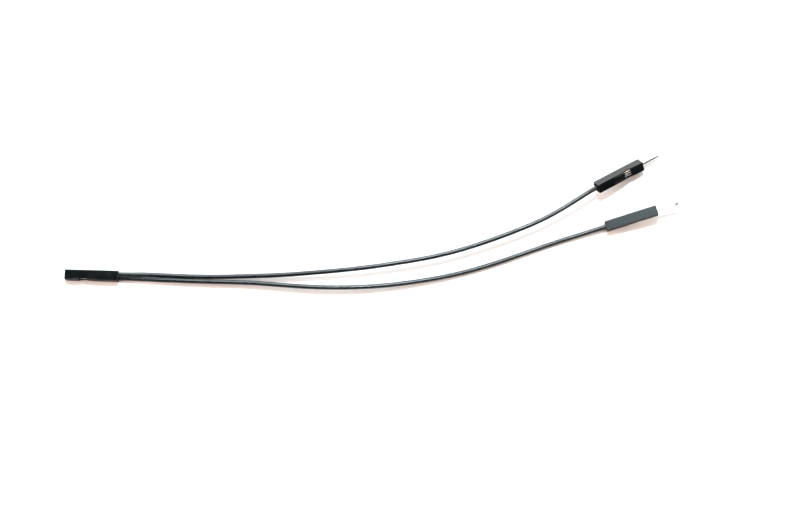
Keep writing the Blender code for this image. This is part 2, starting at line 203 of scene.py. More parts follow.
class MaterialBench:
    # one material's node tree, with short ways to add and join its nodes
    def __init__(self, name):
        self.material = bpy.data.materials.new(name)
        self.material.use_nodes = True
        self.tree = self.material.node_tree
        self.shader = self.tree.nodes["Principled BSDF"]

    def add(self, kind, **values):
        node = self.tree.nodes.new(kind)
        for key, value in values.items():
            setattr(node, key, value)
        return node

    def join(self, source, target):
        self.tree.links.new(source, target)

    def ownPlace(self, scale, attribute="ownPlace"):
        source = self.add("ShaderNodeAttribute", attribute_name=attribute)
        mapping = self.add("ShaderNodeMapping")
        mapping.inputs["Scale"].default_value = scale
        self.join(source.outputs["Vector"], mapping.inputs["Vector"])
        return mapping.outputs["Vector"]

    def noise(self, vector, detail=3.0, roughness=0.55):
        node = self.add("ShaderNodeTexNoise")
        node.inputs["Scale"].default_value = 1.0
        node.inputs["Detail"].default_value = detail
        node.inputs["Roughness"].default_value = roughness
        self.join(vector, node.inputs["Vector"])
        return node.outputs["Fac"]

    def range(self, value, low, high, toLow, toHigh):
        node = self.add("ShaderNodeMapRange")
        node.inputs["From Min"].default_value = low
        node.inputs["From Max"].default_value = high
        node.inputs["To Min"].default_value = toLow
        node.inputs["To Max"].default_value = toHigh
        self.join(value, node.inputs["Value"])
        return node.outputs["Result"]

    def maths(self, operation, first, second):
        node = self.add("ShaderNodeMath", operation=operation)
        for socket, value in zip(node.inputs, (first, second)):
            if isinstance(value, (int, float)):
                socket.default_value = value
            else:
                self.join(value, socket)
        return node.outputs["Value"]

    def mix(self, factor, first, second):
        node = self.add("ShaderNodeMix", data_type="RGBA")
        self.join(factor, node.inputs["Factor"])
        for socket, value in zip((node.inputs[6], node.inputs[7]), (first, second)):
            if isinstance(value, tuple):
                socket.default_value = (*value, 1.0)
            else:
                self.join(value, socket)
        return node.outputs[2]

    def bump(self, height, strength, distance, onto=None):
        node = self.add("ShaderNodeBump")
        node.inputs["Strength"].default_value = strength
        node.inputs["Distance"].default_value = distance
        self.join(height, node.inputs["Height"])
        if onto is not None:
            self.join(onto, node.inputs["Normal"])
        return node.outputs["Normal"]

    def shade(self, colour, roughness, normal):
        self.join(colour, self.shader.inputs["Base Color"])
        self.join(roughness, self.shader.inputs["Roughness"])
        self.join(normal, self.shader.inputs["Normal"])


# moulded black nylon: fine spark-eroded grain, faint clouds, scuffs along it, paler worn edges
def makePlastic(look):
    bench = MaterialBench("mouldedBlackNylon")
    grain = bench.noise(bench.ownPlace((1 / look["grainSize"],) * 3), 2.0)
    clouds = bench.noise(bench.ownPlace((1 / look["cloudSize"],) * 3), 4.0)
    fine = look["scuffFineness"] / look["scuffLength"]
    scuffs = bench.noise(bench.ownPlace((1 / look["scuffLength"], fine, fine)), 2.0)
    scuffMask = bench.range(scuffs, *look["scuffSpan"], 0.0, 1.0)
    split = bench.add("ShaderNodeSeparateXYZ")
    bench.join(bench.ownPlace((1.0, 1.0, 1.0)), split.inputs["Vector"])
    across = bench.maths("ABSOLUTE", split.outputs["Y"], 0.0)
    upward = bench.maths("ABSOLUTE", split.outputs["Z"], 0.0)
    corner = bench.maths("MINIMUM", across, upward)
    edge = bench.range(corner, *look["wornEdge"], 0.0, 1.0)
    wear = bench.maths("MULTIPLY", edge,
                       bench.range(clouds, *look["wearSpan"], look["leastWear"], 1.0))
    base = bench.mix(bench.range(clouds, *colourSpan, 0.0, 1.0),
                     look["darkColour"], look["paleColour"])
    marked = bench.maths("MAXIMUM", bench.maths("MULTIPLY", wear, look["wearShare"]),
                         bench.maths("MULTIPLY", scuffMask, look["scuffShare"]))
    colour = bench.mix(marked, base, look["wornColour"])
    roughness = bench.maths("ADD", bench.range(clouds, *glossSpan, *look["roughness"]),
                            bench.maths("MULTIPLY", scuffMask, look["scuffRoughness"]))
    facing = bench.add("ShaderNodeLayerWeight").outputs["Facing"]
    lostGloss = bench.range(facing, *look["edgeOn"], 0.0, look["edgeOnRoughness"])
    roughness = bench.maths("ADD", roughness, lostGloss)
    normal = bench.bump(grain, *look["grainBump"])
    normal = bench.bump(scuffs, *look["scuffBump"], normal)
    bench.shade(colour, roughness, normal)
    bench.shader.inputs["IOR"].default_value = look["ior"]
    bench.shader.inputs["Specular IOR Level"].default_value = look["specular"]
    return bench.material


# soft insulation: long extrusion lines along the wire, a slight gloss, faint handling marks
def makeJacket(look):
    bench = MaterialBench("extrudedWireJacket")
    width = 1 / look["lineWidth"]
    length = 1 / look["lineLength"]
    lines = bench.noise(bench.ownPlace((width, width, length), "straightPlace"), 2.0)
    spots = bench.noise(bench.ownPlace(look["spotScale"], "straightPlace"), 4.0)
    skin = bench.noise(bench.ownPlace(look["skinScale"], "straightPlace"), 2.0)
    colour = bench.mix(bench.range(spots, *colourSpan, 0.0, 1.0),
                       look["darkColour"], look["paleColour"])
    uneven = look["lineRoughness"]
    roughness = bench.maths("ADD", bench.range(spots, *glossSpan, *look["roughness"]),
                            bench.range(lines, *glossSpan, -uneven, uneven))
    normal = bench.bump(lines, *look["lineBump"])
    normal = bench.bump(skin, *look["skinBump"], normal)
    bench.shade(colour, roughness, normal)
    bench.shader.inputs["IOR"].default_value = look["ior"]
    bench.shader.inputs["Specular IOR Level"].default_value = look["specular"]
    return bench.material


# bright tin over bronze strip: rolling lines along it, duller clouds where it was folded
def makeTin(look):
    bench = MaterialBench("tinPlatedStrip")
    width = 1 / look["lineWidth"]
    lines = bench.noise(bench.ownPlace((1 / look["lineLength"], width, width)), 3.0)
    clouds = bench.noise(bench.ownPlace(look["cloudScale"]), 4.0)
    colour = bench.mix(bench.range(clouds, *look["dullSpan"], 0.0, 1.0),
                       look["brightColour"], look["dullColour"])
    uneven = look["lineRoughness"]
    roughness = bench.maths("ADD", bench.range(clouds, *glossSpan, *look["roughness"]),
                            bench.range(lines, *glossSpan, -uneven, uneven))
    bench.shade(colour, roughness, bench.bump(lines, *look["lineBump"]))
    bench.shader.inputs["Metallic"].default_value = 1.0
    return bench.material


# sheared edge of the strip, where the bronze under the plating shows
def makeCutEdge(look):
    bench = MaterialBench("shearedBronzeEdge")
    grain = bench.noise(bench.ownPlace(look["grainScale"]), 3.0)
    colour = bench.mix(bench.range(grain, *colourSpan, 0.0, 1.0),
                       look["colour"], look["dullColour"])
    roughness = bench.range(grain, *glossSpan, *look["roughness"])
    bench.shade(colour, roughness, bench.bump(grain, *look["grainBump"]))
    bench.shader.inputs["Metallic"].default_value = 1.0
    return bench.material


# bare drawn copper, a little tarnished
def makeCopper(look):
    bench = MaterialBench("drawnCopperStrand")
    lines = bench.noise(bench.ownPlace(look["lineScale"], "straightPlace"), 2.0)
    tarnish = bench.noise(bench.ownPlace(look["tarnishScale"], "straightPlace"), 4.0)
    colour = bench.mix(bench.range(tarnish, *look["dullSpan"], 0.0, 1.0),
                       look["colour"], look["dullColour"])
    roughness = bench.range(tarnish, *glossSpan, *look["roughness"])
    bench.shade(colour, roughness, bench.bump(lines, *look["lineBump"]))
    bench.shader.inputs["Metallic"].default_value = 1.0
    return bench.material


nylon = makePlastic(plasticLook)
jacketPvc = makeJacket(jacketLook)
tin = makeTin(tinLook)
cutEdge = makeCutEdge(cutEdgeLook)
copper = makeCopper(copperLook)
print("materials made")

# wires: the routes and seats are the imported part's own, socket to pin

wire = {
    "diameter": 1.19 * mm,
    "step": 0.35 * mm,
    "sides": 30,
    "sharpOver": 50,            # degrees
    "cutEnd": 11.1 * mm,        # end of the jacket, from the mating face
    "exit": 14.0 * mm,          # end of the housing
    "pairOffset": 0.44 * mm,    # each of the socket's two wires from its middle, both ways
    "pinchedPairOffset": 0.35 * mm,
    "pinchedPair": 0.72,        # share of the diameter left in a jacket crimp
    "pinchedSingle": 0.91,
}

# in the socket's frame: X, offset to the wire's side, share of the diameter
socketSeat = [
    (wire["cutEnd"], wire["pinchedPairOffset"], wire["pinchedPair"]),
    (12.25 * mm, wire["pinchedPairOffset"], wire["pinchedPair"]),
    (13.15 * mm, wire["pinchedPairOffset"], wire["pinchedPair"]),
    (13.65 * mm, 0.42 * mm, 0.93),
    (14.3 * mm, wire["pairOffset"], 1.0),
    (16.0 * mm, wire["pairOffset"], 1.0),
]
# in a pin's frame: X, share of the diameter
pinSeat = [
    (15.0 * mm, 1.0),
    (13.65 * mm, 1.0),
    (13.15 * mm, wire["pinchedSingle"]),
    (12.25 * mm, wire["pinchedSingle"]),
    (wire["cutEnd"], wire["pinchedSingle"]),
]

upperRoute = [
    (-0.0613, -0.0155, 0.0016), (-0.0537, -0.0157, 0.00133), (-0.0462, -0.01597, 0.00123),
    (-0.0386, -0.01601, 0.00134), (-0.0311, -0.01587, 0.00159), (-0.0235, -0.01564, 0.00192),
    (-0.016, -0.01519, 0.00238), (-0.0085, -0.01458, 0.00275), (-0.0009, -0.01376, 0.00294),
    (0.0065, -0.01268, 0.003), (0.014, -0.01139, 0.00303), (0.0214, -0.00966, 0.00306),
    (0.0286, -0.00744, 0.00312), (0.0357, -0.00486, 0.00325), (0.0427, -0.00199, 0.00345),
    (0.0494, 0.00148, 0.00372), (0.0558, 0.00552, 0.00384),
]

lowerRoute = [
    (-0.0613, -0.01656, 0.00095), (-0.0537, -0.01694, 0.00124), (-0.0462, -0.01724, 0.0014),
    (-0.0386, -0.01746, 0.00148), (-0.031, -0.01774, 0.00158), (-0.0234, -0.01832, 0.00173),
    (-0.0159, -0.01884, 0.00191), (-0.0083, -0.019, 0.00196), (-0.0007, -0.01872, 0.00181),
    (0.0069, -0.01796, 0.00152), (0.0144, -0.0168, 0.00118), (0.0218, -0.01526, 0.00085),
    (0.0291, -0.01326, 0.00067), (0.0363, -0.01087, 0.00062), (0.0434, -0.00834, 0.00061),
    (0.0506, -0.0059, 0.00064), (0.0579, -0.00363, 0.00093),
]


# natural cubic spline through the knots; each knot's share of the diameter is eased between
def smoothPath(knots, shares, step):
    points = np.array(knots, float)
    chord = np.linalg.norm(np.diff(points, axis=0), axis=1)
    slope = np.diff(points, axis=0) / chord[:, None]
    count = len(points)
    system = np.eye(count)
    right = np.zeros((count, 3))
    for i in range(1, count - 1):
        system[i, i - 1:i + 2] = chord[i - 1], 2 * (chord[i - 1] + chord[i]), chord[i]
        right[i] = 6 * (slope[i] - slope[i - 1])
    bend = np.linalg.solve(system, right)
    path, ratios = [], []
    for i, length in enumerate(chord):
        parts = max(1, round(length / step))
        for part in range(parts + (i == count - 2)):
            t = length * part / parts
            back = length - t
            path.append((bend[i] * back ** 3 + bend[i + 1] * t ** 3) / (6 * length)
                        + (points[i] / length - bend[i] * length / 6) * back
                        + (points[i + 1] / length - bend[i + 1] * length / 6) * t)
            ease = (t / length) ** 2 * (3 - 2 * t / length)
            ratios.append(shares[i] + (shares[i + 1] - shares[i]) * ease)
    return np.array(path), np.array(ratios)


def wirePath(side, pinName, route):
    socket = connectorMatrix("socket")
    pin = connectorMatrix(pinName)
    knots = [socket @ Vector((x, side * off, -side * off)) for x, off, _ in socketSeat]
    knots += [Vector(p) for p in route]
    knots += [pin @ Vector((x, 0.0, 0.0)) for x, _ in pinSeat]
    shares = [s for _, _, s in socketSeat] + [1.0] * len(route) + [s for _, s in pinSeat]
    return smoothPath([tuple(k) for k in knots], shares, wire["step"])


# an open line of points, with a share of the full thickness stored at each
def lineObject(name, path, shares):
    mesh = bpy.data.meshes.new(name)
    mesh.from_pydata([tuple(p) for p in path], [(i, i + 1) for i in range(len(path) - 1)], [])
    layer = mesh.attributes.new("share", "FLOAT", "POINT")
    layer.data.foreach_set("value", np.asarray(shares, np.float32))
    return addPiece(name, mesh)


class NodeBench:
    # a Geometry Nodes tree with named inputs
    def __init__(self, name, inputs):
        self.tree = bpy.data.node_groups.new(name, "GeometryNodeTree")
        face = self.tree.interface
        face.new_socket("Geometry", in_out="INPUT", socket_type="NodeSocketGeometry")
        self.keys = {}
        for label, (kind, value) in inputs.items():
            socket = face.new_socket(label, in_out="INPUT", socket_type=kind)
            if value is not None:
                socket.default_value = value
            self.keys[label] = socket.identifier
        face.new_socket("Geometry", in_out="OUTPUT", socket_type="NodeSocketGeometry")
        self.start = self.tree.nodes.new("NodeGroupInput")
        self.end = self.tree.nodes.new("NodeGroupOutput")

    def add(self, kind, settings=None, **sockets):
        node = self.tree.nodes.new(kind)
        for key, value in (settings or {}).items():
            setattr(node, key, value)
        for key, value in sockets.items():
            self.feed(node.inputs[key.replace("_", " ")], value)
        return node

    def feed(self, socket, value):
        if isinstance(value, bpy.types.NodeSocket):
            self.tree.links.new(value, socket)
        else:
            socket.default_value = value

    def maths(self, operation, first, second):
        node = self.add("ShaderNodeMath", {"operation": operation})
        self.feed(node.inputs[0], first)
        self.feed(node.inputs[1], second)
        return node.outputs[0]

    def vectorMaths(self, operation, first, second, scale=None):
        node = self.add("ShaderNodeVectorMath", {"operation": operation})
        self.feed(node.inputs[0], first)
        if second is not None:
            self.feed(node.inputs[1], second)
        if scale is not None:
            self.feed(node.inputs["Scale"], scale)
        return node.outputs[0]

    # a round tube along each line; straightPlace is where a point would be on the straight wire
    def tube(self, lines, radius, sides, scale):
        number = {"data_type": "FLOAT", "domain": "POINT"}
        vector = {"data_type": "FLOAT_VECTOR", "domain": "POINT"}
        along = self.add("GeometryNodeSplineParameter").outputs["Length"]
        marked = self.add("GeometryNodeStoreNamedAttribute", number,
                          Geometry=lines, Name="along", Value=along)
        ring = self.add("GeometryNodeCurvePrimitiveCircle", Resolution=sides, Radius=radius)
        place = self.add("GeometryNodeInputPosition").outputs[0]
        rim = self.add("GeometryNodeStoreNamedAttribute", vector,
                       Geometry=ring.outputs["Curve"], Name="rim", Value=place)
        skin = self.add("GeometryNodeCurveToMesh", Curve=marked.outputs[0],
                        Profile_Curve=rim.outputs[0], Scale=scale, Fill_Caps=True)
        rimOut = self.add("GeometryNodeInputNamedAttribute", {"data_type": "FLOAT_VECTOR"},
                          Name="rim")
        alongOut = self.add("GeometryNodeInputNamedAttribute", {"data_type": "FLOAT"},
                            Name="along")
        split = self.add("ShaderNodeSeparateXYZ", Vector=rimOut.outputs[0])
        straight = self.add("ShaderNodeCombineXYZ", X=split.outputs["X"], Y=split.outputs["Y"],
                            Z=alongOut.outputs[0])
        placed = self.add("GeometryNodeStoreNamedAttribute", vector, Geometry=skin.outputs[0],
                          Name="straightPlace", Value=straight.outputs[0])
        return placed.outputs[0]

    def finish(self, geometry, material):
        real = self.add("GeometryNodeRealizeInstances", Geometry=geometry)
        painted = self.add("GeometryNodeSetMaterial", Geometry=real.outputs[0], Material=material)
        self.tree.links.new(painted.outputs[0], self.end.inputs[0])

    # puts the tree on an object, with its inputs set, and gives back the plain mesh
    def run(self, item, name, **values):
        modifier = item.modifiers.new(self.tree.name, "NODES")
        modifier.node_group = self.tree
        for label, value in values.items():
            modifier[self.keys[label]] = value
        return bakedMesh(item, name)


def insulatedWireTree():
    bench = NodeBench("insulatedWire", {
        "diameter": ("NodeSocketFloat", wire["diameter"]),
        "sides": ("NodeSocketInt", wire["sides"]),
        "jacket": ("NodeSocketMaterial", None),
    })
    line = bench.add("GeometryNodeMeshToCurve", Mesh=bench.start.outputs["Geometry"])
    share = bench.add("GeometryNodeInputNamedAttribute", {"data_type": "FLOAT"}, Name="share")
    radius = bench.maths("MULTIPLY", bench.start.outputs["diameter"], 0.5)
    skin = bench.tube(line.outputs[0], radius, bench.start.outputs["sides"], share.outputs[0])
    bench.finish(skin, bench.start.outputs["jacket"])
    return bench


wireTree = insulatedWireTree()


def makeWire(name, node, side, pinName, route):
    path, shares = wirePath(side, pinName, route)
    mesh = wireTree.run(lineObject(name + "Line", path, shares), name,
                        diameter=wire["diameter"], sides=wire["sides"], jacket=jacketPvc)
    sharpenOver(mesh, wire["sharpOver"])
    item = addPiece(name, mesh, jacketPvc)
    dressPiece(item, "wire_jacket", node)


makeWire("upperWire", "upper_wire", 1, "upperPin", upperRoute)
makeWire("lowerWire", "lower_wire", -1, "lowerPin", lowerRoute)

# bare strands, twisted one round another, from the jacket's cut end into the core crimp

strands = {
    "radius": 0.08 * mm,
    "sides": 12,
    "steps": 32,
    "outer": 6,
    "twistPerMm": 28.0,   # degrees
    "sharpOver": 50,      # degrees
    "start": wire["cutEnd"],
    "bent": 9.95 * mm,
    "end": 7.85 * mm,
    "crimpHeight": -0.39 * mm,
    "pairOffset": 0.26 * mm,
    "waver": 0.012 * mm,
    "seed": 7,
}


def strandTree():
    bench = NodeBench("twistedStrands", {
        "strandRadius": ("NodeSocketFloat", strands["radius"]),
        "outerStrands": ("NodeSocketInt", strands["outer"]),
        "twist": ("NodeSocketFloat", math.radians(strands["twistPerMm"]) / mm),
        "waver": ("NodeSocketFloat", strands["waver"]),
        "seed": ("NodeSocketInt", strands["seed"]),
        "metal": ("NodeSocketMaterial", None),
    })
    start = bench.start.outputs
    line = bench.add("GeometryNodeMeshToCurve", Mesh=start["Geometry"])
    count = bench.maths("ADD", start["outerStrands"], 1)
    copies = bench.add("GeometryNodeDuplicateElements", {"domain": "SPLINE"},
                       Geometry=line.outputs[0], Amount=count)
    number = copies.outputs["Duplicate Index"]
    along = bench.add("GeometryNodeSplineParameter").outputs["Length"]
    outer = bench.maths("LESS_THAN", number, start["outerStrands"])
    turn = bench.maths("DIVIDE", number, start["outerStrands"])
    angle = bench.maths("ADD", bench.maths("MULTIPLY", turn, math.tau),
                        bench.maths("MULTIPLY", along, start["twist"]))
    shift = bench.add("FunctionNodeRandomValue", {"data_type": "FLOAT"},
                      ID=number, Seed=start["seed"])
    reach = bench.maths("ADD", bench.maths("MULTIPLY", start["strandRadius"], 2.0),
                        bench.maths("MULTIPLY", shift.outputs[1], start["waver"]))
    reach = bench.maths("MULTIPLY", reach, outer)
    normal = bench.add("GeometryNodeInputNormal").outputs[0]
    tangent = bench.add("GeometryNodeInputTangent").outputs[0]
    side = bench.vectorMaths("CROSS_PRODUCT", normal, tangent)
    cosine = bench.maths("MULTIPLY", bench.maths("COSINE", angle, 0.0), reach)
    sine = bench.maths("MULTIPLY", bench.maths("SINE", angle, 0.0), reach)
    offset = bench.vectorMaths("ADD", bench.vectorMaths("SCALE", normal, None, cosine),
                               bench.vectorMaths("SCALE", side, None, sine))
    moved = bench.add("GeometryNodeSetPosition", Geometry=copies.outputs[0], Offset=offset)
    skin = bench.tube(moved.outputs[0], start["strandRadius"], strands["sides"], 1.0)
    bench.finish(skin, start["metal"])
    return bench


strandBench = strandTree()


def makeStrands(name, node, place, startOff, endOff):
    matrix = connectorMatrix(place)
    path = []
    for i in range(strands["steps"] + 1):
        x = strands["start"] + (strands["end"] - strands["start"]) * i / strands["steps"]
        part = min(max((strands["start"] - x) / (strands["start"] - strands["bent"]), 0.0), 1.0)
        ease = part * part * (3 - 2 * part)
        y = startOff + (endOff - startOff) * ease
        z = -startOff + (strands["crimpHeight"] + startOff) * ease
        path.append(matrix @ Vector((x, y, z)))
    mesh = strandBench.run(lineObject(name + "Line", path, [1.0] * len(path)), name,
                           strandRadius=strands["radius"], outerStrands=strands["outer"],
                           twist=math.radians(strands["twistPerMm"]) / mm, waver=strands["waver"],
                           seed=strands["seed"], metal=copper)
    sharpenOver(mesh, strands["sharpOver"])
    item = addPiece(name, mesh, copper)
    dressPiece(item, "core_copper", node)


seated = wire["pinchedPairOffset"]
crimped = strands["pairOffset"]
makeStrands("upperStrandsAtSocket", "upper_wire_core_at_socket", "socket", seated, crimped)
makeStrands("lowerStrandsAtSocket", "lower_wire_core_at_socket", "socket", -seated, -crimped)
makeStrands("upperStrandsAtPin", "upper_wire_core_at_pin", "upperPin", 0.0, 0.0)
makeStrands("lowerStrandsAtPin", "lower_wire_core_at_pin", "lowerPin", 0.0, 0.0)
print("wires and strands made")

# housings

housing = {
    "length": 14.0 * mm,
    "width": 2.54 * mm,
    "edgeRadius": 0.10 * mm,
    "edgeSegments": 4,
    "cavity": 2.12 * mm,
    "cavityCorner": 0.06 * mm,
    "cavityMouth": 2.24 * mm,
    "mouthDepth": 0.24 * mm,
    "frontWall": 0.7 * mm,
    "pinHole": 1.0 * mm,
    "holeCorner": 0.05 * mm,
    "funnel": 1.6 * mm,
    "funnelDepth": 0.35 * mm,
    "windowStart": 3.7 * mm,
    "windowEnd": 5.85 * mm,
    "windowDepth": 0.27 * mm,
    "rampEnd": 9.0 * mm,
    "rampDepth": 0.13 * mm,
    "latchHalf": 0.64 * mm,
    "latchUnder": 0.86 * mm,
    "latchRoot": 9.2 * mm,
    "smallStep": 0.02 * mm,   # the latch lies this far under the ramp
    "toothUnder": 0.64 * mm,
    "toothEnd": 6.8 * mm,
    "toothRampEnd": 7.8 * mm,
    "slit": 0.18 * mm,
    "slitUnder": 0.5 * mm,
    "slitForward": 0.1 * mm,  # how far the slits start and end before the ramp does
    "cutPast": 0.4 * mm,      # how far a cutter reaches past the faces it opens
    "fineEdge": 0.035 * mm,
    "fineSegments": 2,
    "softenOver": 40,         # degrees
}


def loftRings(bm, rings):
    loops = [[bm.verts.new(p) for p in ring] for ring in rings]
    count = len(loops[0])
    for near, far in zip(loops, loops[1:]):
        for i in range(count):
            j = (i + 1) % count
            bm.faces.new((near[i], near[j], far[j], far[i]))
    bm.faces.new(loops[0])
    bm.faces.new(loops[-1])


def meshFrom(bm, name):
    bmesh.ops.recalc_face_normals(bm, faces=bm.faces)
    mesh = bpy.data.meshes.new(name)
    bm.to_mesh(mesh)
    bm.free()
    return mesh


def squareRing(x, width, radius=0.0, steps=4):
    half = width / 2
    if radius == 0.0:
        return [(x, y * half, z * half) for y, z in ((-1, -1), (1, -1), (1, 1), (-1, 1))]
    inner = half - radius
    ring = []
    for quarter, (sy, sz) in enumerate(((1, 1), (-1, 1), (-1, -1), (1, -1))):
        for k in range(steps + 1):
            a = math.radians(90 * (quarter + k / steps))
            ring.append((x, sy * inner + radius * math.cos(a), sz * inner + radius * math.sin(a)))
    return ring


def prism(outline, halfWidth):
    bm = bmesh.new()
    loftRings(bm, [[(x, y, z) for x, z in outline] for y in (-halfWidth, halfWidth)])
    return meshFrom(bm, "cutter")


def block(low, high):
    corners = ((low[0], low[2]), (high[0], low[2]), (high[0], high[2]), (low[0], high[2]))
    bm = bmesh.new()
    loftRings(bm, [[(x, y, z) for x, z in corners] for y in (low[1], high[1])])
    return meshFrom(bm, "cutter")


def ringsMesh(*rings):
    bm = bmesh.new()
    loftRings(bm, rings)
    return meshFrom(bm, "cutter")


def housingMesh(s):
    top = s["width"] / 2
    bm = bmesh.new()
    loftRings(bm, [squareRing(0.0, s["width"]), squareRing(s["length"], s["width"])])
    bmesh.ops.bevel(bm, geom=bm.edges[:], offset=s["edgeRadius"], segments=s["edgeSegments"],
                    profile=0.5, affect="EDGES")
    body = addPiece("housingForm", meshFrom(bm, "housingForm"))
    rampTop = top - s["rampDepth"]
    past = s["cutPast"]
    above = top + past
    corner = s["cavityCorner"]
    cavity = ringsMesh(squareRing(s["frontWall"], s["cavity"], corner),
                       squareRing(s["length"] - s["mouthDepth"], s["cavity"], corner),
                       squareRing(s["length"], s["cavityMouth"], corner),
                       squareRing(s["length"] + past, s["cavityMouth"], corner))
    corner = s["holeCorner"]
    hole = ringsMesh(squareRing(-past, s["funnel"], corner),
                     squareRing(0.0, s["funnel"], corner),
                     squareRing(s["funnelDepth"], s["pinHole"], corner),
                     squareRing(s["frontWall"] + past / 2, s["pinHole"], corner))
    window = prism([(s["windowStart"], top - s["windowDepth"]),
                    (s["windowEnd"], top - s["windowDepth"]), (s["windowEnd"], rampTop),
                    (s["rampEnd"], top), (s["rampEnd"] + past, top + s["smallStep"]),
                    (s["rampEnd"] + past, above), (s["windowStart"], above)], s["width"])
    latchTop = rampTop - s["smallStep"]
    latch = prism([(s["windowEnd"], s["toothUnder"]), (s["toothEnd"], s["toothUnder"]),
                   (s["toothRampEnd"], s["latchUnder"]), (s["latchRoot"], s["latchUnder"]),
                   (s["latchRoot"], latchTop), (s["windowEnd"], latchTop)], s["latchHalf"])
    slitStart = s["windowEnd"] - s["slitForward"]
    slitEnd = s["rampEnd"] - s["slitForward"]
    under = s["slitUnder"]
    near = s["latchHalf"]
    far = near + s["slit"]
    leftSlit = block((slitStart, -far, under), (slitEnd, -near, above))
    rightSlit = block((slitStart, near, under), (slitEnd, far, above))
    steps = [(cavity, "DIFFERENCE"), (hole, "DIFFERENCE"), (window, "DIFFERENCE"),
             (latch, "UNION"), (leftSlit, "DIFFERENCE"), (rightSlit, "DIFFERENCE")]
    tools = []
    for mesh, operation in steps:
        tool = addPiece("cutter", mesh)
        tools.append(tool)
        cut = body.modifiers.new("cut", "BOOLEAN")
        cut.object = tool
        cut.operation = operation
        cut.solver = "EXACT"
    mesh = bakedMesh(body, "housingCut")
    for tool in tools:
        bpy.data.objects.remove(tool, do_unlink=True)
    return mesh


# softens the sharp edges that the cuts leave, as a mould does
def softenEdges(mesh, width, segments, angle):
    bm = bmesh.new()
    bm.from_mesh(mesh)
    bmesh.ops.remove_doubles(bm, verts=bm.verts, dist=weldDistance)
    bmesh.ops.dissolve_limit(bm, angle_limit=math.radians(1.0), verts=bm.verts, edges=bm.edges)
    for face in bm.faces:
        face.smooth = True
    bm.to_mesh(mesh)
    bm.free()
    item = addPiece("softForm", mesh)
    bevel = item.modifiers.new("soften", "BEVEL")
    bevel.width = width
    bevel.segments = segments
    bevel.limit_method = "ANGLE"
    bevel.angle_limit = math.radians(angle)
    bevel.miter_outer = "MITER_ARC"
    bevel.use_clamp_overlap = True
    tidy = item.modifiers.new("triangles", "TRIANGULATE")
    tidy.min_vertices = 5
    flat = item.modifiers.new("flatFaces", "WEIGHTED_NORMAL")
    flat.weight = 100
    flat.keep_sharp = True
    return bakedMesh(item, mesh.name)


def placedCopy(mesh, name, place):
    copy = mesh.copy()
    copy.name = name
    copy.transform(connectorMatrix(place))
    return copy


housingForm = softenEdges(housingMesh(housing), housing["fineEdge"], housing["fineSegments"],
                          housing["softenOver"])
keepOwnPlace(housingForm)
for name, node, place in (("socketHousing", "socket_housing", "socket"),
                          ("upperPinHousing", "upper_pin_housing", "upperPin"),
                          ("lowerPinHousing", "lower_pin_housing", "lowerPin")):
    dressPiece(addPiece(name, placedCopy(housingForm, name, place), nylon), "housing_plastic", node)
print("housings made,", len(housingForm.polygons), "faces each")

# terminals: one strip each, folded along its length. A section is the strip's middle line, drawn
# from the middle of the floor outwards, and its width is how much of that line the strip covers.

strip = {
    "thickness": 0.18 * mm,
    "columnWidth": 0.05 * mm,
    "sharedColumns": 20,    # on each side of the middle, alike in every stretch
    "rowLength": 0.16 * mm,
    "edgeRounding": 0.022 * mm,
    "sharpOver": 32,        # degrees
}

boxPart = {"half": 0.78 * mm, "floor": -0.75 * mm, "corner": 0.2 * mm, "gap": 0.06 * mm,
           "start": 0.95 * mm, "end": 5.7 * mm}
neckPart = {"half": 0.56 * mm, "start": 6.5 * mm, "end": 7.8 * mm, "width": 0.95 * mm}
coreCrimp = {"floor": -0.74 * mm, "shoulder": -0.02 * mm, "wingTip": 0.12 * mm,
             "corner": 0.16 * mm, "rollTurn": 192, "flare": 0.06 * mm, "single": 0.42 * mm,
             "double": 0.62 * mm, "start": 8.1 * mm, "end": 9.8 * mm, "ease": 0.3 * mm}
jacketCrimp = {"radius": 0.66 * mm, "double": 0.89 * mm, "doubleCorner": 0.35 * mm,
               "doubleGap": 0.5 * mm, "start": 11.25 * mm, "end": 13.15 * mm,
               "link": 0.60 * mm, "tail": 0.25 * mm, "tailEnd": 13.4 * mm}
pinPart = {"width": 0.64 * mm, "edge": 0.06 * mm, "reach": 6.0 * mm, "taper": 0.9 * mm,
           "tip": 0.26 * mm, "blunt": 0.05 * mm, "middle": -2.0 * mm, "root": 2.2 * mm,
           "wrapHalf": 0.36 * mm, "wrapCorner": 0.10 * mm, "wrapStart": 1.3 * mm,
           "wrapEnd": 1.9 * mm, "shoulderEnd": 2.9 * mm}
leafPart = {"half": 0.39 * mm, "columns": 8, "line": [   # X and Z in millimetres
    (0.97, -0.75), (0.90, -0.735), (0.865, -0.69), (0.86, -0.62), (0.88, -0.55), (0.95, -0.505),
    (1.1, -0.485), (1.5, -0.46), (1.9, -0.43), (2.3, -0.40), (2.6, -0.39), (2.8, -0.39),
    (3.0, -0.395), (3.3, -0.41), (3.8, -0.445), (4.2, -0.48)]}


# walks from the middle of the floor: a number goes straight, a pair turns by radius and degrees
def drawSection(floor, *moves):
    y, z, heading = 0.0, floor, 0.0
    line = [(y, z)]
    for move in moves:
        if isinstance(move, tuple):
            radius, turn = move
            centre = (y - radius * math.sin(heading), z + radius * math.cos(heading))
            parts = max(2, math.ceil(turn / 5))
            for k in range(1, parts + 1):
                a = heading + math.radians(turn) * k / parts
                line.append((centre[0] + radius * math.sin(a), centre[1] - radius * math.cos(a)))
            heading += math.radians(turn)
        else:
            line.append((y + move * math.cos(heading), z + move * math.sin(heading)))
        y, z = line[-1]
    points = np.array(line)
    steps = np.linalg.norm(np.diff(points, axis=0), axis=1)
    reach = np.concatenate([[0.0], np.cumsum(steps)])
    return points, reach


def boxSection(half, floor, height, corner, gap):
    return drawSection(floor, half - corner, (corner, 90), height - 2 * corner, (corner, 90),
                       half - corner - gap / 2)


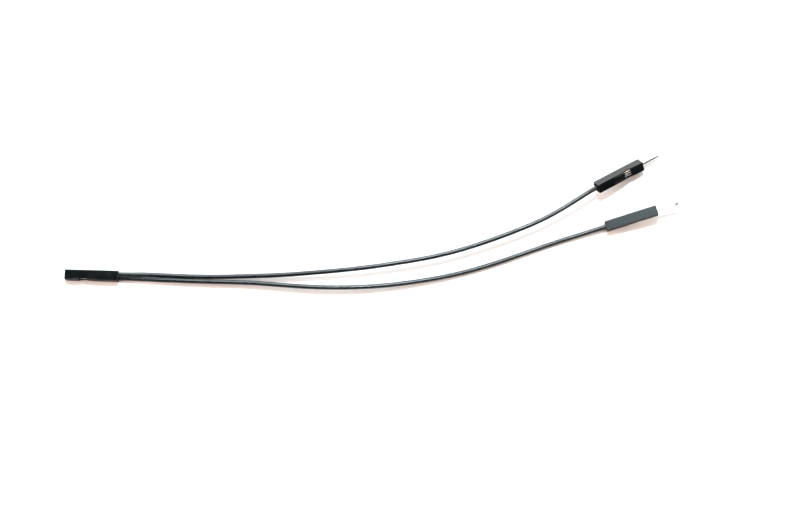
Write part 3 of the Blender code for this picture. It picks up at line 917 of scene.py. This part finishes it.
def coreSection(half, flare):
    s = coreCrimp
    half += flare
    floor = s["floor"] - flare
    shoulder = s["shoulder"] + flare
    roll = (half - s["wingTip"]) / 2
    return drawSection(floor, half - s["corner"], (s["corner"], 90),
                       shoulder - floor - s["corner"], (roll, s["rollTurn"]))


def ringSection(radius, gap):
    clear = math.degrees(math.asin((gap + strip["thickness"]) / 2 / radius))
    return drawSection(-radius, (radius, 180 - clear))


# past its end a section goes straight on, so that two of them can be eased at any width
def sectionAt(section, distances):
    points, reach = section
    last = points[-1] - points[-2]
    over = np.maximum(distances - reach[-1], 0.0)[:, None] * last / np.linalg.norm(last)
    return np.stack([np.interp(distances, reach, points[:, k]) for k in (0, 1)], axis=1) + over


# where the strip's columns fall: the first are evenly spaced, so that a narrow stretch and a wide
# one share them, and the rest are spread over what is left; a short section spreads them all
def columnPlaces(section, width, columns):
    spacing = strip["columnWidth"]
    shared = strip["sharedColumns"]
    reach = section[1][-1] if width is None else width
    if columns <= shared or reach < 1.5 * shared * spacing:
        return np.linspace(0.0, reach, columns + 1)
    rest = np.linspace(shared * spacing, reach, columns - shared + 1)
    return np.concatenate([np.arange(shared) * spacing, rest])


# one row of the strip as two lines of points, on its outer face and on its inner face
def stripRow(x, near, far, ease, distances):
    def middle(d):
        return sectionAt(near, d) * (1 - ease) + sectionAt(far, d) * ease

    small = 0.01 * mm
    along = middle(distances + small) - middle(np.maximum(distances - small, 0.0))
    along[0] = (1.0, 0.0)
    along /= np.linalg.norm(along, axis=1)[:, None]
    outward = np.stack([along[:, 1], -along[:, 0]], axis=1) * strip["thickness"] / 2
    lines = []
    for points in (middle(distances) + outward, middle(distances) - outward):
        right = [(x, y, z) for y, z in points.tolist()]
        lines.append([(x, -y, z) for _, y, z in reversed(right[1:])] + right)
    return lines


def stretchRows(stations, width):
    full = max(section[1][-1] for _, section in stations) if width is None else width
    columns = round(full / strip["columnWidth"])
    rows = []
    for index, ((x0, near), (x1, far)) in enumerate(zip(stations, stations[1:])):
        places0 = columnPlaces(near, width, columns)
        places1 = columnPlaces(far, width, columns)
        parts = max(1, round((x1 - x0) / strip["rowLength"]))
        last = index == len(stations) - 2
        for k in range(parts + last):
            t = k / parts
            ease = t * t * (3 - 2 * t)
            places = places0 * (1 - ease) + places1 * ease
            rows.append(stripRow(x0 + (x1 - x0) * t, near, far, ease, places))
    return rows


# stretches are (stations, width): each station is (x, section), and a width of None is all of it
def foldStrip(name, stretches, leaf=None):
    bm = bmesh.new()
    known = {}
    ends = {}

    def corner(point):
        key = tuple(round(c / weldDistance) for c in point)
        if key not in known:
            known[key] = bm.verts.new(point)
        return known[key]

    # a cut face that two stretches share is inside the strip, and is left out
    def markEnd(points):
        face = [corner(p) for p in points]
        key = frozenset(face)
        if key in ends:
            del ends[key]
        else:
            ends[key] = face

    for stations, width in stretches:
        rows = stretchRows(stations, width)
        for (outer0, inner0), (outer1, inner1) in zip(rows, rows[1:]):
            for i in range(len(outer0) - 1):
                j = i + 1
                bm.faces.new([corner(p) for p in (outer0[i], outer0[j], outer1[j], outer1[i])])
                bm.faces.new([corner(p) for p in (inner1[i], inner1[j], inner0[j], inner0[i])])
            for i in (0, -1):
                edge = (outer0[i], outer1[i], inner1[i], inner0[i])
                bm.faces.new([corner(p) for p in edge]).material_index = 1
        for outer, inner in (rows[0], rows[-1]):
            for i in range(len(outer) - 1):
                markEnd((outer[i], inner[i], inner[i + 1], outer[i + 1]))
    for face in ends.values():
        bm.faces.new(face).material_index = 1
    if leaf:
        addLeaf(bm, leaf)
    bmesh.ops.recalc_face_normals(bm, faces=bm.faces)
    rims = [e for e in bm.edges if len({f.material_index for f in e.link_faces}) == 2]
    bmesh.ops.bevel(bm, geom=rims, offset=strip["edgeRounding"], segments=2, profile=0.5,
                    affect="EDGES", clamp_overlap=False, material=1)
    return meshFrom(bm, name)


# the contact tongue, bent back inside from the floor's front edge
def addLeaf(bm, leaf):
    line = np.array(leaf["line"]) * mm
    along = np.gradient(line, axis=0)
    along /= np.linalg.norm(along, axis=1)[:, None]
    side = np.stack([along[:, 1], -along[:, 0]], axis=1) * strip["thickness"] / 2
    upper = (line + side).tolist()
    lower = (line - side).tolist()
    across = np.linspace(-leaf["half"], leaf["half"], leaf["columns"] + 1).tolist()
    grid = [[[bm.verts.new((x, y, z)) for y in across] for x, z in edge]
            for edge in (upper, lower)]
    for rows in grid:
        for near, far in zip(rows, rows[1:]):
            for i in range(len(across) - 1):
                bm.faces.new((near[i], near[i + 1], far[i + 1], far[i]))
    top, bottom = grid
    rims = []
    for i in (0, -1):
        for k in range(len(line) - 1):
            rims.append((top[k][i], top[k + 1][i], bottom[k + 1][i], bottom[k][i]))
        for k in range(len(across) - 1):
            rims.append((top[i][k], top[i][k + 1], bottom[i][k + 1], bottom[i][k]))
    for rim in rims:
        bm.faces.new(rim).material_index = 1


def rearStretches(box, neck, coreHalf, jacket):
    tight = coreSection(coreHalf, 0.0)
    mouth = coreSection(coreHalf, coreCrimp["flare"])
    crimp = coreCrimp
    hold = jacketCrimp
    return [
        ([(boxPart["end"], box), (neckPart["start"], neck), (neckPart["end"], neck),
          (crimp["start"], mouth)], neckPart["width"]),
        ([(crimp["start"], mouth), (crimp["start"] + crimp["ease"], tight),
          (crimp["end"] - crimp["ease"], tight), (crimp["end"], mouth)], None),
        ([(crimp["end"], mouth), (hold["start"], jacket)], hold["link"]),
        ([(hold["start"], jacket), (hold["end"], jacket)], None),
        ([(hold["end"], jacket), (hold["tailEnd"], jacket)], hold["tail"]),
    ]


def boxAndNeck():
    s = boxPart
    height = -2 * s["floor"]
    box = boxSection(s["half"], s["floor"], height, s["corner"], s["gap"])
    neck = boxSection(neckPart["half"], s["floor"], height, s["corner"], s["gap"])
    return box, neck


def socketTerminalMesh():
    box, neck = boxAndNeck()
    hold = jacketCrimp
    half = hold["double"]
    jacket = boxSection(half, -half, 2 * half, hold["doubleCorner"], hold["doubleGap"])
    front = [([(boxPart["start"], box), (boxPart["end"], box)], None)]
    rear = rearStretches(box, neck, coreCrimp["double"], jacket)
    return foldStrip("socketStrip", front + rear, leafPart)


def pinTerminalMesh():
    s = pinPart
    box, neck = boxAndNeck()
    half = s["wrapHalf"]
    wrap = boxSection(half, -half, 2 * half, s["wrapCorner"], boxPart["gap"])
    jacket = ringSection(jacketCrimp["radius"], boxPart["gap"])
    front = [([(s["wrapStart"], wrap), (s["wrapEnd"], wrap), (s["shoulderEnd"], box),
               (boxPart["end"], box)], None)]
    mesh = foldStrip("pinStrip", front + rearStretches(box, neck, coreCrimp["single"], jacket))
    bm = bmesh.new()
    bm.from_mesh(mesh)
    tip = -s["reach"]
    taperMiddle = 0.52 * s["width"] + 0.5 * s["tip"]
    loftRings(bm, [
        squareRing(tip, s["tip"] - 3 * s["blunt"], 0.02 * mm),
        squareRing(tip + 0.3 * s["blunt"], s["tip"] - s["blunt"], 0.04 * mm),
        squareRing(tip + s["blunt"], s["tip"], 0.05 * mm),
        squareRing(tip + 0.5 * s["taper"], taperMiddle, s["edge"]),
        squareRing(tip + s["taper"], s["width"], s["edge"]),
        squareRing(s["middle"], s["width"], s["edge"]),
        squareRing(s["root"], s["width"], s["edge"]),
    ])
    return meshFrom(bm, "pinStrip")


socketForm = socketTerminalMesh()
pinForm = pinTerminalMesh()
for mesh in (socketForm, pinForm):
    keepOwnPlace(mesh)
    sharpenOver(mesh, strip["sharpOver"])
for name, node, place, mesh in (("socketTerminal", "socket_terminal", "socket", socketForm),
                                ("upperPinTerminal", "upper_pin_terminal", "upperPin", pinForm),
                                ("lowerPinTerminal", "lower_pin_terminal", "lowerPin", pinForm)):
    dressPiece(addPiece(name, placedCopy(mesh, name, place), tin, cutEdge), "terminal_metal", node)
print("terminals made,", len(socketForm.polygons), "and", len(pinForm.polygons), "faces")

# table and light

studio = {
    "floorSize": 6.0,
    "floorColour": (0.90, 0.90, 0.90),
    "floorUnevenness": 0.008,
    "floorGrain": 180.0,   # per metre
    "floorRoughness": (0.62, 0.72),
    "floorBump": (0.02, 0.01 * mm),
    "floorSpecular": 0.2,
    "skyLow": (0.05, (0.060, 0.062, 0.065)),   # share of the way up, and the colour there
    "skyMiddle": (0.4, (0.030, 0.032, 0.034)),
    "skyHigh": (0.85, (0.010, 0.010, 0.011)),
}

# place, aim, size along X and Y, power in watts, colour
lamps = {
    "keyLamp": ((0.011, 0.27, 0.595), (0.0, 0.0, 0.0), (0.10, 0.10), 3.5, (0.82, 0.92, 1.0)),
    "stripPanel": ((-0.18, 0.42, 0.80), (-0.05, 0.0, 0.0), (0.34, 0.10), 1.1, (0.86, 0.96, 1.0)),
    "highBackPanel": ((0.0, 0.85, 0.88), (0.0, 0.0, 0.0), (1.60, 0.34), 4.2, (0.40, 0.86, 1.0)),
    "lowBackPanel": ((0.0, 1.20, 0.42), (0.0, 0.0, 0.0), (1.70, 0.34), 13.6, (0.96, 1.0, 1.0)),
    "topPanel": ((0.09, 0.11, 1.00), (0.06, 0.0, 0.0), (0.30, 0.26), 0.78, (0.78, 0.95, 1.0)),
    "leftPanel": ((-1.00, -0.15, 0.60), (0.0, 0.0, 0.0), (0.80, 0.50), 15.4, (1.0, 0.76, 0.70)),
    "rightPanel": ((1.00, -0.10, 0.60), (0.0, 0.0, 0.0), (0.80, 0.50), 9.8, (1.0, 0.80, 0.69)),
}


def addLamp(name, place, aim, size, power, colour):
    data = bpy.data.lights.new(name, "AREA")
    data.shape = "RECTANGLE"
    data.size, data.size_y = size
    data.energy = power
    data.color = colour
    item = bpy.data.objects.new(name, data)
    item.location = place
    item.rotation_euler = (Vector(aim) - Vector(place)).to_track_quat("-Z", "Y").to_euler()
    bpy.context.scene.collection.objects.link(item)


def makeFloor(s):
    bench = MaterialBench("paleTable")
    coordinates = bench.add("ShaderNodeTexCoord").outputs["Object"]
    mapping = bench.add("ShaderNodeMapping")
    mapping.inputs["Scale"].default_value = (s["floorGrain"],) * 3
    bench.join(coordinates, mapping.inputs["Vector"])
    grain = bench.noise(mapping.outputs["Vector"], 4.0)
    darker = tuple(c - s["floorUnevenness"] for c in s["floorColour"])
    paler = tuple(c + s["floorUnevenness"] for c in s["floorColour"])
    roughness = bench.range(grain, *glossSpan, *s["floorRoughness"])
    bench.shade(bench.mix(grain, darker, paler), roughness, bench.bump(grain, *s["floorBump"]))
    bench.shader.inputs["Specular IOR Level"].default_value = s["floorSpecular"]
    bm = bmesh.new()
    bmesh.ops.create_grid(bm, x_segments=1, y_segments=1, size=s["floorSize"] / 2)
    floor = addPiece("floor", meshFrom(bm, "floor"), bench.material)


# a dim sky, darkest overhead, so that level faces stay black; the panels light the rest
def makeSky(s):
    world = bpy.data.worlds.new("studioSky")
    world.use_nodes = True
    bpy.context.scene.world = world
    tree = world.node_tree
    direction = tree.nodes.new("ShaderNodeTexCoord")
    split = tree.nodes.new("ShaderNodeSeparateXYZ")
    ramp = tree.nodes.new("ShaderNodeValToRGB")
    tree.links.new(direction.outputs["Generated"], split.inputs["Vector"])
    tree.links.new(split.outputs["Z"], ramp.inputs["Fac"])
    tree.links.new(ramp.outputs["Color"], tree.nodes["Background"].inputs["Color"])
    stops = ramp.color_ramp.elements
    for stop, (position, colour) in zip(stops, (s["skyLow"], s["skyHigh"])):
        stop.position = position
        stop.color = (*colour, 1.0)
    position, colour = s["skyMiddle"]
    stops.new(position).color = (*colour, 1.0)


makeFloor(studio)
makeSky(studio)
for name, settings in lamps.items():
    addLamp(name, *settings)
bpy.context.scene.view_settings.view_transform = "Standard"
print("table and light set")
